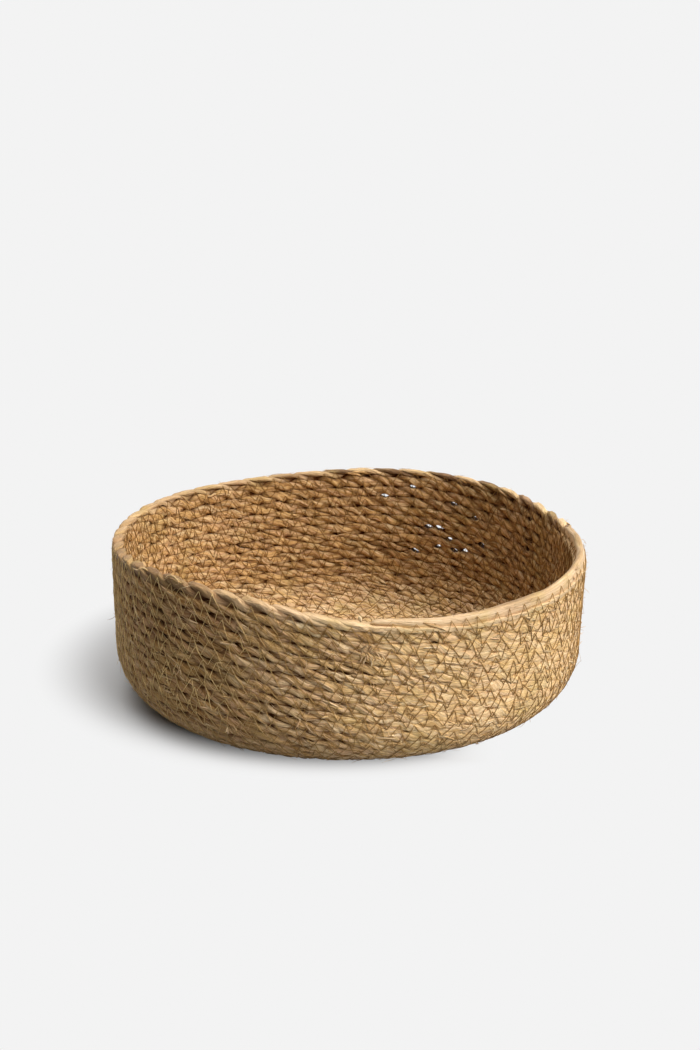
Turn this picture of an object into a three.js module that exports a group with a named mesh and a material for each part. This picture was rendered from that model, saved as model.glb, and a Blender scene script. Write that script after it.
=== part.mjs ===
// A low round basket: one seagrass rope wound in a spiral from the centre of its floor to its rim.
// Millimetres and degrees, +Z up. The basket stands on z = 0, with the middle of its outline over the origin.
import * as THREE from "three";

// The basket's outline
const RIM_DIAMETER = 300;
const HEIGHT = 100;
const WALL_LEAN = 3;
const HEEL_RADIUS = 38;

// The rope and its spiral
const COURSE_PITCH = 6.1;
const SEAM_GAP = 0.8;
const ROPE_DEPTH = 7.2;
const START_RADIUS = 3.6;
const STEPS_PER_TURN = 24;
const JOIN_GAP = 0.3;

// The top course, which no turn above presses flat
const RIM_TALL = 7;
const RIM_SWELL_ANGLE = 30;

// The rope's end, one smooth strand that thins out on top of the course below
const TAIL_ANGLE = 90;
const TAIL_TIP_AT = -85;
const TAIL_TIP_TALL = 2;
const TAIL_TIP_DEPTH = 3;

// How far the hand-wound wall strays from a true round at the height of the rim, in radius
const SHIFTED_STRAY = 1.6;
const OVAL_STRAY = 1.9;
const THREE_SIDED_STRAY = 2.3;
const FOUR_SIDED_STRAY = 3.1;

// How far the rim strays from level
const TILT_RISE = 2.3;
const SADDLE_RISE = 2.1;
const THREE_PEAK_RISE = 3.2;
const FOUR_PEAK_RISE = 1.6;

// Each stray swells so many times around the basket, with a crest at the given angle from +X
const RADIUS_SWELLS = [
  { count: 1, size: SHIFTED_STRAY, crest: 16 },
  { count: 2, size: OVAL_STRAY, crest: -71 },
  { count: 3, size: THREE_SIDED_STRAY, crest: -57 },
  { count: 4, size: FOUR_SIDED_STRAY, crest: -37 },
];
const HEIGHT_SWELLS = [
  { count: 1, size: TILT_RISE, crest: -162 },
  { count: 2, size: SADDLE_RISE, crest: 53 },
  { count: 3, size: THREE_PEAK_RISE, crest: -17 },
  { count: 4, size: FOUR_PEAK_RISE, crest: -30 },
];

const COLOURS = {
  floor: 0xb08f5f,
  heel: 0xb4945f,
  wall: 0xbc9c68,
  rim: 0xcfb07c,
  tail: 0xdcc08c,
};

const FULL_TURN = 2 * Math.PI;
const coilTall = COURSE_PITCH - SEAM_GAP;
const lean = THREE.MathUtils.degToRad(WALL_LEAN);
const heelSweep = Math.PI / 2 - lean;
const wallFootHeight = HEEL_RADIUS * (1 - Math.cos(heelSweep));
const wallLength = (HEIGHT - wallFootHeight) / Math.cos(lean);
const floorRadius =
  RIM_DIAMETER / 2 - HEEL_RADIUS * Math.sin(heelSweep) - wallLength * Math.sin(lean);
const heelMidRadius = HEEL_RADIUS - ROPE_DEPTH / 2;
const heelLength = heelMidRadius * heelSweep;
const profileLength = floorRadius + heelLength + wallLength;

// The middle of the rope's depth, at a distance along the profile from the floor's centre,
// with the way along the profile and the way out of the wall.
function profileAt(distance) {
  if (distance <= floorRadius) {
    return { radius: distance, height: ROPE_DEPTH / 2, along: [1, 0], out: [0, -1] };
  }
  const turned = Math.min((distance - floorRadius) / heelMidRadius, heelSweep);
  const climbed = Math.max(distance - floorRadius - heelLength, 0);
  const along = [Math.cos(turned), Math.sin(turned)];
  return {
    radius: floorRadius + heelMidRadius * Math.sin(turned) + climbed * along[0],
    height: HEEL_RADIUS - heelMidRadius * Math.cos(turned) + climbed * along[1],
    along,
    out: [along[1], -along[0]],
  };
}

function swell(swells, angle) {
  return swells.reduce((sum, { count, size, crest }) => {
    return sum + size * Math.cos(count * (angle - THREE.MathUtils.degToRad(crest)));
  }, 0);
}

// A point of the true round, given by its radius, height and angle, moved to where the real wall strays.
function strayed(radius, height, angle) {
  const share = height / HEIGHT;
  const r = radius + swell(RADIUS_SWELLS, angle) * share;
  const z = height + swell(HEIGHT_SWELLS, angle) * share;
  return new THREE.Vector3(r * Math.cos(angle), r * Math.sin(angle), z);
}

// The spiral is counted in steps back from the tail's tip, so that the corners of all its turns line up.
// The rim's mean height is reached half a pitch before the full rope ends.
const step = FULL_TURN / STEPS_PER_TURN;
const tailTurn = THREE.MathUtils.degToRad(TAIL_ANGLE);
const tipAngle = THREE.MathUtils.degToRad(TAIL_TIP_AT);
const rimHalfRise = (COURSE_PITCH * (FULL_TURN - tailTurn)) / FULL_TURN / 2;
const fullRopeEnd = profileLength - RIM_TALL / 2 - (RIM_TALL - coilTall) / 2 + rimHalfRise;
const tipDistance = fullRopeEnd + (COURSE_PITCH * tailTurn) / FULL_TURN;

// How tall and how deep the rope is, back from the tip.
function ropeSize(back) {
  if (back < tailTurn) {
    const full = back / tailTurn;
    return {
      tall: THREE.MathUtils.lerp(TAIL_TIP_TALL, RIM_TALL, full),
      depth: THREE.MathUtils.lerp(TAIL_TIP_DEPTH, ROPE_DEPTH, full),
    };
  }
  const uncovered = FULL_TURN - back;
  const swollen = THREE.MathUtils.degToRad(RIM_SWELL_ANGLE);
  const share = THREE.MathUtils.clamp(uncovered / swollen, 0, 1);
  return { tall: THREE.MathUtils.lerp(coilTall, RIM_TALL, share), depth: ROPE_DEPTH };
}

// The five corners of the rope's section: a flat outside, a side to each neighbour, and a ridge inside.
function sectionAt(back) {
  const { tall, depth } = ropeSize(back);
  const distance = tipDistance - (COURSE_PITCH * back) / FULL_TURN + (tall - coilTall) / 2;
  const { radius, height, along, out } = profileAt(distance);
  const corners = [
    [-0.32 * tall, 0.5 * depth],
    [0.32 * tall, 0.5 * depth],
    [0.5 * tall, -0.05 * depth],
    [0, -0.5 * depth],
    [-0.5 * tall, -0.05 * depth],
  ];
  // The first turns of the heel are pressed flat where they would dip below the floor's underside.
  return corners.map(([side, outward]) =>
    strayed(
      radius + side * along[0] + outward * out[0],
      Math.max(height + side * along[1] + outward * out[1], 0),
      tipAngle + back,
    ),
  );
}

// One unbroken stretch of the rope, between two counts of steps back from the tip.
// Each end that meets another stretch stands back by half the gap of their join.
function ropeStretch(firstStep, lastStep, joinsFirst, joinsLast) {
  const backs = [];
  for (let count = firstStep; count <= lastStep; count += 1) {
    backs.push(count * step);
  }
  const angleOfGap = (back) => {
    const { radius } = profileAt(tipDistance - (COURSE_PITCH * back) / FULL_TURN);
    return JOIN_GAP / 2 / radius;
  };
  if (joinsFirst) {
    backs[0] += angleOfGap(backs[0]);
  }
  if (joinsLast) {
    backs[backs.length - 1] -= angleOfGap(backs[backs.length - 1]);
  }
  return backs.map((back) => ({ back, corners: sectionAt(back) }));
}

function tubeOf(stretch) {
  const sides = stretch[0].corners.length;
  const positions = stretch.flatMap(({ corners }) => corners.flatMap((corner) => corner.toArray()));
  const faces = [];
  for (let ring = 0; ring + 1 < stretch.length; ring += 1) {
    for (let side = 0; side < sides; side += 1) {
      const a = ring * sides + side;
      const b = ring * sides + ((side + 1) % sides);
      faces.push(a, a + sides, b, b, a + sides, b + sides);
    }
  }
  const lastRing = (stretch.length - 1) * sides;
  for (let side = 1; side + 1 < sides; side += 1) {
    faces.push(0, side, side + 1);
    faces.push(lastRing, lastRing + side + 1, lastRing + side);
  }
  const geometry = new THREE.BufferGeometry();
  geometry.setAttribute("position", new THREE.Float32BufferAttribute(positions, 3));
  geometry.setIndex(faces);
  geometry.computeVertexNormals();
  return geometry;
}

// The least distance between points of one stretch that lie over half a turn apart along it.
function leastGap(stretch) {
  const points = [];
  stretch.forEach(({ back, corners }, ring) => {
    const next = stretch[ring + 1];
    corners.forEach((corner, side) => {
      const beside = corners[(side + 1) % corners.length];
      points.push({ back, at: corner });
      points.push({ back, at: corner.clone().lerp(beside, 0.5) });
      if (next) {
        points.push({ back, at: corner.clone().lerp(next.corners[side], 0.5) });
      }
    });
  });
  let least = Infinity;
  for (let i = 0; i < points.length; i += 1) {
    for (let j = i + 1; j < points.length; j += 1) {
      if (points[j].back - points[i].back > FULL_TURN / 2) {
        least = Math.min(least, points[i].at.distanceToSquared(points[j].at));
      }
    }
  }
  return Math.sqrt(least);
}

// The counts of steps, back from the tip, at which the rope's job changes.
const stepsBackTo = (distance) =>
  Math.round(((tipDistance - distance) / COURSE_PITCH) * STEPS_PER_TURN);
const tailSteps = Math.round(tailTurn / step);
const rimSteps = tailSteps + STEPS_PER_TURN;
const wallSteps = stepsBackTo(floorRadius + heelLength);
const heelSteps = stepsBackTo(floorRadius);
const startSteps = Math.floor(((tipDistance - START_RADIUS) / COURSE_PITCH) * STEPS_PER_TURN);

const stretches = [
  { name: "base_coil", from: heelSteps, to: startSteps, colour: COLOURS.floor },
  { name: "heel_coil", from: wallSteps, to: heelSteps, colour: COLOURS.heel },
  { name: "wall_coil", from: rimSteps, to: wallSteps, colour: COLOURS.wall },
  { name: "rim_course", from: tailSteps, to: rimSteps, colour: COLOURS.rim },
  { name: "rim_tail", from: 0, to: tailSteps, colour: COLOURS.tail },
];

const group = new THREE.Group();
for (const { name, from, to, colour } of stretches) {
  const stretch = ropeStretch(from, to, from > 0, to < startSteps);
  const material = new THREE.MeshStandardMaterial({ color: colour, roughness: 0.85, metalness: 0 });
  const mesh = new THREE.Mesh(tubeOf(stretch), material);
  mesh.name = name;
  group.add(mesh);
  if (to - from > STEPS_PER_TURN) {
    console.log(`${name}: least gap to itself ${leastGap(stretch).toFixed(2)} mm`);
  }
}

// The strays move the outline off the floor's centre, and the part's origin is the middle of the outline.
const middle = new THREE.Box3().setFromObject(group).getCenter(new THREE.Vector3());
group.position.set(-middle.x, -middle.y, 0);

export default group;
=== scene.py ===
"""A round basket: a two-ply seagrass rope wound in a spiral and sewn to itself with a zigzag stitch."""
import functools
import math

import bpy
import numpy as np
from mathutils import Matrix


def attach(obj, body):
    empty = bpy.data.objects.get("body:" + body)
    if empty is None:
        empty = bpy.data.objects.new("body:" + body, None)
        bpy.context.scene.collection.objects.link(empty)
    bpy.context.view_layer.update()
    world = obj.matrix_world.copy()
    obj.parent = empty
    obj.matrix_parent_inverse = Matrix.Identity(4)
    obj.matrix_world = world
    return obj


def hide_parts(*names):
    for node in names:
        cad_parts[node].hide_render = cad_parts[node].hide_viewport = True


bl_info = {
    "name": "Round basket",
    "version": (1, 0, 0),
    "blender": (4, 5, 0),
    "location": "3D View > Sidebar > Basket",
    "description": "Winds, sews and lights a round seagrass basket around its packed frame",
    "category": "Object",
}

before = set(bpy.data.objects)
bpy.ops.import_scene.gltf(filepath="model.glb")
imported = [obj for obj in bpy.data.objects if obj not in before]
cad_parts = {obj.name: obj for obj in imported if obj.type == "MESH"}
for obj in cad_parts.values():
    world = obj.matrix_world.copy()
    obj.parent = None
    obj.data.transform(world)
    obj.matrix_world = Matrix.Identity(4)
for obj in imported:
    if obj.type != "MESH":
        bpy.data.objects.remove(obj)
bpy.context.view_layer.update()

MM = 0.001
FULL_TURN = 2 * math.pi
BODY = "root"
PLIES = 2


# Sizes and colours that a user would change


def number(name, description, default, **settings):
    return bpy.props.FloatProperty(name=name, description=description, default=default, **settings)


def length(name, description, millimetres):
    """A size in Blender's metres, with its default given in millimetres."""
    return number(name, description, millimetres * MM, unit="LENGTH", precision=5)


def angle(name, description, degrees):
    return number(name, description, math.radians(degrees), unit="ROTATION")


def share(name, description, value):
    return number(name, description, value, min=0.0)


def colour(name, description, rgb):
    return bpy.props.FloatVectorProperty(
        name=name, description=description, default=rgb, subtype="COLOR", size=3, min=0.0, max=1.0
    )


class BasketShape(bpy.types.PropertyGroup):
    """The basket's outline and its spiral, as the frame holds them."""

    rim_diameter: length("Rim diameter", "Across the outside of the rim", 300)
    height: length("Height", "From the floor's underside to the rim", 100)
    wall_lean: angle("Wall lean", "How far the wall leans outwards", 3)
    heel_radius: length("Heel radius", "Outer radius of the round heel", 38)
    course_pitch: length("Course pitch", "From one turn of the rope to the next", 6.1)
    seam_gap: length("Seam gap", "Between the frame's turns", 0.8)
    rope_depth: length("Rope depth", "Through the wall", 7.2)
    start_radius: length("Start radius", "Where the rope starts on the floor", 1.1)
    rim_tall: length("Rim height", "Height of the top turn, which nothing presses flat", 7)
    rim_swell: angle("Rim swell", "The turn over which the rope swells to that height", 30)
    tail_turn: angle("Tail turn", "The turn that the thinning end of the rope takes", 90)
    tail_tip_at: angle("Tail tip", "Where the rope's end lies, from +X", -85)
    tail_tip_tall: length("Tip height", "Height of the rope's end", 2)
    tail_tip_depth: length("Tip depth", "Depth of the rope's end", 3)
    middle_x: length("Middle X", "Where the floor's middle lies", 0.402)
    middle_y: length("Middle Y", "Where the floor's middle lies", -1.02)


class RopeLay(bpy.types.PropertyGroup):
    """The twisted rope."""

    ring_step: length("Ring step", "Along the rope between two rings of a ply's mesh", 1.6)
    lay: length("Lay", "Along the rope for one whole turn of its plies", 38)
    ply_offset: length("Ply offset", "From the rope's middle to a ply's middle", 1.95)
    ply_thick: length("Ply thickness", "Of one ply, through the rope", 4.5)
    ply_wide: length("Ply width", "Of one ply, across the rope", 7.4)
    pressed_depth: length("Pressed depth", "Where the flat faces hold a ply, from the rope's middle", 4.0)
    overlap: length("Overlap", "How far a turn presses into the next one's place", 0.8)
    leaf_twist: length("Leaf twist", "Along a ply for one turn of its leaves, against the lay", 62)
    seam_wander: length("Seam wander", "How far a seam strays from its even spiral", 1.15)
    rim_lift: length("Rim lift", "How far the seams under the rim are drawn up", 4.2)
    tail_drop: length("Tail drop", "How far the seam under the tail is pushed down", 2.2)
    flat_turn: angle("Flat turn", "How far the plies' turning lags and leads in the flattened rope", 15)
    nestling: length("Nestling", "How far the plies of two turns push their seam up and down", 1.2)
    unevenness: share("Unevenness", "How much a ply's thickness varies", 0.32)
    loose_fullness: share("Loose fullness", "How square a ply's section is where the coil is loose", 3.2)
    tight_fullness: share("Tight fullness", "How square it is where the thread pulls it flat", 4.6)
    tight_at: angle("Tight side", "The side that is sewn tightest, from +X", -35)
    crease: share("Crease", "Depth of the creases between a ply's leaves, by its radius", 0.085)
    leaf_tilt: share("Leaf tilt", "How far one edge of a leaf stands over the next leaf", 0.08)
    dent: length("Dent", "How deep the thread pulls the leaves in at its holes", 0.4)
    furrow: length("Furrow", "How deep a stitch presses into the leaves under it", 0.05)


class Sewing(bpy.types.PropertyGroup):
    """The zigzag stitch."""

    stitch: length("Stitch", "Along the seam for one whole zigzag", 10.4)
    width: length("Width", "Across the seam between the needle's holes", 10.5)
    thread: length("Thread", "Thickness of the sewing thread", 0.4)
    bow: length("Bow", "How far a stitch bends aside between two holes", 0.5)


class Finish(bpy.types.PropertyGroup):
    """Colours of the leaves and the thread."""

    brown: colour("Brown leaf", "The darkest leaves", (0.42, 0.225, 0.075))
    tan: colour("Tan leaf", "Dark tan leaves", (0.68, 0.41, 0.16))
    straw: colour("Straw leaf", "The most common leaves", (0.90, 0.60, 0.275))
    pale: colour("Pale leaf", "Pale leaves", (0.95, 0.70, 0.39))
    pink: colour("Pink leaf", "Pinkish brown leaves", (0.84, 0.55, 0.33))
    olive: colour("Olive leaf", "Leaves that kept some green", (0.62, 0.45, 0.16))
    bleached: colour("Bleached leaf", "The palest leaves", (0.94, 0.76, 0.50))
    rim_brown: colour("Rim brown", "The dark leaves of the rim", (0.20, 0.115, 0.06))
    rim_tan: colour("Rim tan", "The dull tan leaves of the rim", (0.58, 0.39, 0.21))
    rim_pink: colour("Rim pink", "The dull pink leaves of the rim", (0.755, 0.545, 0.335))
    rim_pale: colour("Rim pale", "The pale leaves of the rim", (0.89, 0.655, 0.375))
    dark_streak: colour("Dark streak", "Brown streaks along a leaf", (0.34, 0.17, 0.055))
    pale_vein: colour("Pale vein", "Fine pale lines along a leaf", (0.95, 0.80, 0.58))
    dark_vein: colour("Dark vein", "Fine brown lines along a leaf", (0.40, 0.22, 0.08))
    speck: colour("Speck", "Small dark specks", (0.20, 0.10, 0.035))
    # Painted shade in the creases at the leaves' edges
    fold: colour("Fold", "The edges at which a leaf folds", (0.30, 0.16, 0.06))
    # Painted shade: this tint darkens the leaves inside the wall and on the outside turned away from the key
    # light
    inner_shade: colour("Inner shade", "How the inside tints its leaves", (0.73, 0.66, 0.575))
    furrow_shade: colour("Furrow shade", "How a stitch's furrow tints a leaf", (0.93, 0.88, 0.82))
    facet_shade: colour("Facet shade", "How a leaf's small facets tint it", (0.80, 0.76, 0.70))
    gap_shade: colour("Gap shade", "How the gaps between plies tint them", (0.18, 0.09, 0.03))
    thread: colour("Thread", "The sewing thread", (0.44, 0.26, 0.085))
    # Painted sheen: the thread on the outside turned away from the key light is lightened towards this
    # colour, as if catching light
    faded_thread: colour("Faded thread", "Where the outside's thread has faded", (0.92, 0.68, 0.31))
    inner_thread: colour("Inner thread", "How the inside tints its thread", (0.7, 0.64, 0.56))
    thread_patch: colour("Thread patch", "How darker patches tint the thread", (0.6, 0.55, 0.5))


class Studio(bpy.types.PropertyGroup):
    """Camera, lamps and floor."""

    camera_distance: length("Camera distance", "From the middle of the basket", 1125.9)
    camera_elevation: angle("Camera elevation", "Of the camera above the basket's middle", 19.5)
    lens: number("Lens", "Focal length on a 36 mm sensor", 60.88, unit="CAMERA")
    key_strength: share("Key light", "Strength of the soft light from the right", 3.6)
    sky_low: share("Low sky", "Light from the horizon", 0.05)
    sky_high: share("High sky", "Light added towards the zenith", 5.9)
    sky_power: share("Sky power", "How closely that light gathers round the zenith", 8)
    background: share("Background", "Brightness of the backdrop to the camera", 0.896)


# Smooth randomness, each kind with its spacing along the rope in metres and its seed

NOISES = {
    "thickness": (0.031, 1),
    "width": (0.027, 2),
    "leaves' turning": (0.05, 3),
    "stitches": (0.06, 6),
    "slow seam": (0.052, 11),
    "quick seam": (0.021, 12),
    "tightness": (0.09, 13),
    "leaf edges": (0.055, 20),
    "slow lay": (0.07, 21),
    "quick lay": (0.028, 22),
    "leaf tones": (0.08, 30),
    "leaf tilts": (0.06, 40),
    "creases": (0.035, 50),
    "tail's height": (0.017, 61),
    "tail's depth": (0.03, 62),
    "tail's tone": (0.02, 63),
    "tail's turning": (0.07, 64),
}


def smooth_step(value):
    value = np.clip(value, 0, 1)
    return value * value * (3 - 2 * value)


def bell(value, middle, spread):
    return np.exp(-(((value - middle) / spread) ** 2))


def random_marks(run, noise, more_seed, lowest):
    """The random marks before and after each place of the rope, and how far it lies between them."""
    spacing, seed = NOISES[noise]
    where = np.asarray(run) / spacing
    low = int(np.floor(where.min())) - 1
    count = int(np.ceil(where.max())) - low + 3
    values = np.random.RandomState(seed + more_seed).uniform(lowest, 1, count)
    index = np.floor(where).astype(int)
    return values[index - low], values[index - low + 1], where - index


def drift(run, noise, more_seed=0):
    """Smooth noise from -1 to 1 along the rope."""
    before, after, between = random_marks(run, noise, more_seed, -1)
    ease = smooth_step(between)
    return before * (1 - ease) + after * ease


def patches(run, noise, more_seed, blend):
    """Random values from 0 to 1 that hold along the rope and change quickly now and then."""
    before, after, between = random_marks(run, noise, more_seed, 0)
    ease = np.clip((between - 1 + blend) / blend, 0, 1)
    return before * (1 - ease) + after * ease


# The basket's profile and spiral, as in the frame. Each swell has its count, size in mm and crest.

RADIUS_SWELLS = ((1, 1.6, 16), (2, 1.9, -71), (3, 2.3, -57), (4, 3.1, -37))
HEIGHT_SWELLS = ((1, 2.3, -162), (2, 2.1, 53), (3, 3.2, -17), (4, 1.6, -30))


def swell(swells, turned):
    return sum(
        size * MM * np.cos(count * (turned - math.radians(crest))) for count, size, crest in swells
    )


class Spiral:
    """Where the rope runs. Places along it are given by the angle turned back from its tip."""

    def __init__(self, shape):
        self.shape = shape
        lean = shape.wall_lean
        coil_tall = shape.course_pitch - shape.seam_gap
        self.heel_sweep = math.pi / 2 - lean
        foot = shape.heel_radius * (1 - math.cos(self.heel_sweep))
        wall = (shape.height - foot) / math.cos(lean)
        self.floor_radius = (
            shape.rim_diameter / 2 - shape.heel_radius * math.sin(self.heel_sweep) - wall * math.sin(lean)
        )
        self.heel_middle = shape.heel_radius - shape.rope_depth / 2
        self.heel_length = self.heel_middle * self.heel_sweep
        profile_length = self.floor_radius + self.heel_length + wall
        half_rise = shape.course_pitch * (FULL_TURN - shape.tail_turn) / FULL_TURN / 2
        rope_end = profile_length - shape.rim_tall / 2 - (shape.rim_tall - coil_tall) / 2 + half_rise
        self.tip_distance = rope_end + shape.course_pitch * shape.tail_turn / FULL_TURN
        self.start_back = self.back_to(shape.start_radius)

    def back_to(self, distance):
        """The angle turned back at a distance along the profile."""
        return (self.tip_distance - distance) / self.shape.course_pitch * FULL_TURN

    def even_distance(self, back):
        """Along the profile to the middle of an evenly wound rope."""
        return self.tip_distance - self.shape.course_pitch * back / FULL_TURN

    def risen(self, distance):
        """From 0 on the floor to 1 on the wall."""
        return smooth_step((distance - self.floor_radius) / self.heel_length)

    def place(self, distance, outward, back):
        """A point of the wall, by its distance along the profile and outwards from its middle."""
        shape = self.shape
        turned = np.clip((distance - self.floor_radius) / self.heel_middle, 0, self.heel_sweep)
        climbed = np.maximum(distance - self.floor_radius - self.heel_length, 0)
        radius = np.minimum(distance, self.floor_radius) + self.heel_middle * np.sin(turned)
        radius = radius + climbed * np.cos(turned) + outward * np.sin(turned)
        height = shape.heel_radius - self.heel_middle * np.cos(turned)
        height = height + climbed * np.sin(turned) - outward * np.cos(turned)
        turn = shape.tail_tip_at + back
        rise = height / shape.height
        radius = radius + swell(RADIUS_SWELLS, turn) * rise
        height = np.maximum(height + swell(HEIGHT_SWELLS, turn) * rise, 0)
        x = radius * np.cos(turn) + shape.middle_x
        y = radius * np.sin(turn) + shape.middle_y
        return np.stack((x, y, height), axis=-1)


# The rope's mesh, and the tables of how far its surface reaches

TRACK_STEPS = 60
PLY_SIDES = 16
PLY_CROWDING = 0.4
PLY_SEED = 100
PLY_PATTERNS_APART = 50
LEAVES = 5
PRESS_POWER = 8
BINS = 15
BIN_SPAN = 0.96
LAST_BIN = 1.001
FLAT_RISE = 1e-9
LEAST_HALF = 0.1 * MM

# How far the plies' turning wanders, in radians, and the seams, by the lay's seam wander

LAY_WANDERS = ((0.5, "slow lay"), (0.28, "quick lay"))
SEAM_WAVERS = ((0.75, "slow seam"), (0.4, "quick seam"))

# How the seams stray under the rim and the tail, in degrees turned back from the rope's end

LIFT_COMES = (60, 150)
LIFT_FADES = 1.6 * FULL_TURN
FRONT_LEFT_AT, FRONT_LEFT_SPREAD, FRONT_LEFT_HELD = math.radians(330), math.radians(35), 0.45
DROP_COMES = (2, 27)
DROP_GOES = (60, 100)
FREE_WAVER = 1 / 3

# How tightly the rope is sewn: by the cosine of the angle from its tight side, at two places round
# the basket by their angle, spread and share, and on the floor

TIGHT_FROM, TIGHT_OVER, TIGHT_WAVER = 0.5, 0.42, 0.15
TIGHT_RIM_AT, TIGHT_RIM_SPREAD, TIGHT_RIM = 205, 25, 0.8
TIGHT_BACK_AT, TIGHT_BACK_SPREAD, TIGHT_BACK = 172, 28, 0.55
TIGHT_FLOOR = 0.35
# Painted shade on the outside turned away from the key light: it starts where the cosine from the tight side
# falls below the first number, and is full once that cosine has fallen by the second
AWAY_SHADE_FROM, AWAY_SHADE_OVER = 0.75, 0.8

# Where light shows between two turns: angle from +X, height in mm, and how far they part in mm

PARTED = (
    (80, 81, 1.65), (72, 94, 1.6), (60, 85, 1.85), (67, 68, 1.85), (64, 62, 2.1), (61, 60, 2.1),
    (53, 78, 2.0), (32, 91, 2.3), (64, 53, 1.7), (56, 54, 2.1), (59, 49, 1.95), (50, 60, 2.1),
    (30, 73, 2.4), (32, 68, 2.4), (71, 45, 1.85),
)
PARTED_WIDER = 1.22
PARTED_LONG, PARTED_POWER = 2.9 * MM, 4

# The tones of the rim's two plies, by the angle from +X, and how much of the leaves' own they replace. They
# are partly the rim's own tones and partly painted shade: both plies are dark on the left and front left,
# away from the key light, and one ply is dark at the back.

RIM_TONES = (
    (5, 0.9, 0.15), (30, 0.8, 0.1), (90, 0.8, 0.12), (125, 0.66, 0.5), (160, 0.55, 0.45),
    (185, 0.2, 0.2), (230, 0.08, 0.2), (242, 0.42, 0.56), (262, 0.56, 0.5), (275, 0.68, 0.74),
    (365, 0.8, 0.6),
)
RIM_TONE_SHARE = 0.9

# The needle's holes: how they stray along the seam and across it, how far they keep from the rope's
# end and from the top of its strands, and the marks that they and the stitches leave

HOLE_SEED = 5
HOLE_DRIFT, HOLE_JITTER, WIDTH_JITTER = 1.1, 0.42, 0.3
HOLES_END = 4 * MM
HOLE_BELOW, TAIL_HOLE_BELOW = 0.9 * MM, 1.8 * MM
TAIL_STITCH_WIDER = 2 * MM
HOLE_LONG, HOLE_WIDE = 1.4 * MM, 1.1 * MM
FURROW_WIDE = 1.1 * MM
UNSEWN_GAP = 10 * MM

# The leaves of a ply: how their turning, edges, tones, tilts and creases vary

TURNING_WANDER, EDGE_WANDER = 0.5, 0.35
LEAF_BLEND, TONE_BLEND = 0.4, 0.12
TONE_SHIFT = 50 * MM
TILT_LEAST, TILT_RANGE = -0.6, 2
CREASE_WIDE = 0.2
CREASE_LEAST, CREASE_RANGE, CREASE_FLATTENED = 0.35, 0.65, 0.6

# How a ply's section changes on the free top, where it is sewn tight, where it has more room between
# its seams, and at its end

TOP_NARROWER, TOP_FARTHER, TOP_SHALLOWER, TOP_LOWER = 0.28, 0.06, 0.1, 0.2 * MM
TIGHT_DEEPER, TIGHT_WIDER = 0.3, 0.1
ROOM_DEPTH_POWER, ROOM_SIDE_POWER, ROOM_TOP_POWER = -0.2, 0.5, 0.35
HIDDEN_FULLER = 1.2
ENDING_TURN, ENDING_LEFT = math.radians(5), 0.5

# What the leaves' material is told: where the inside starts, how much less painted shade the rim's top
# takes, and how the painted shade in the gaps between plies changes where sewn tight, inside the wall and on
# the side away from the key light

INSIDE_BLEND = 2 * MM
TOP_SHADE_LESS = 0.2
TIGHT_GAPS, INSIDE_GAPS, AWAY_SHADE_GAPS = 0.18, 0.03, 0.07

# The tail: how it grows from its tip, how it stands out, sinks into the seam and tucks under the rim,
# and how its surface varies. A crease has its size, its count round the strand and its turn.

TAIL_SIDES, TAIL_STEP = 16, 1.6 * MM
TAIL_TALL_POWER, TAIL_DEEP_POWER, TAIL_DEEP_SHARE = 0.35, 0.5, 0.76
TAIL_ROUNDED, TAIL_ROUNDED_LEAST = math.radians(1), 0.05
TAIL_STANDS_OUT = 0.4 * MM
TAIL_SUNK, TAIL_SINKS_WITHIN = 0.8 * MM, 1 / 6
TAIL_TUCK, TAIL_TUCK_LEAST = math.radians(7), 0.02
TAIL_TALL_WAVER, TAIL_DEEP_WAVER, TAIL_TURN_WANDER = 0.13, 0.08, 0.8
TAIL_CREASES = ((0.06, 3, 0), (0.03, 7, 1))
TAIL_FULLNESS_POWER = 0.7
TAIL_TONE, TAIL_TONE_DRIFT, TAIL_TONE_ROUND = 0.5, 0.14, 0.14


def press(value, limit):
    """Flattens a section softly against a limit."""
    return value / (1 + np.abs(value / limit) ** PRESS_POWER) ** (1 / PRESS_POWER)


def round_section(sides):
    """Even angles round a section."""
    return np.arange(sides) / sides * FULL_TURN


def squared_round(turned, power):
    """The cosine and sine of a section, made fuller at its corners by a power under 1."""
    return (np.sign(wave) * np.abs(wave) ** power for wave in (np.cos(turned), np.sin(turned)))


def comes(back, between):
    """Rises from 0 to 1 between two angles in degrees."""
    return smooth_step((back - math.radians(between[0])) / math.radians(between[1] - between[0]))


def degrees_from(turn, middle):
    """The shorter way round from one angle to another, from -180 to 180."""
    return (turn - middle + 180) % 360 - 180


def strand_place(along, radius, own):
    """Where points lie in their strand's own space, for the patterns of its leaves."""
    along = np.broadcast_to(along, radius.shape)
    return np.stack((along, radius * np.cos(own), radius * np.sin(own)), axis=-1)


def stretch_of(backs, back_from, back_to):
    """The places from one angle turned back to a smaller one, and the first of the next stretch."""
    chosen = (backs <= back_from) & (backs >= back_to)
    chosen[1:] |= chosen[:-1]
    return np.nonzero(chosen)[0]


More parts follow.
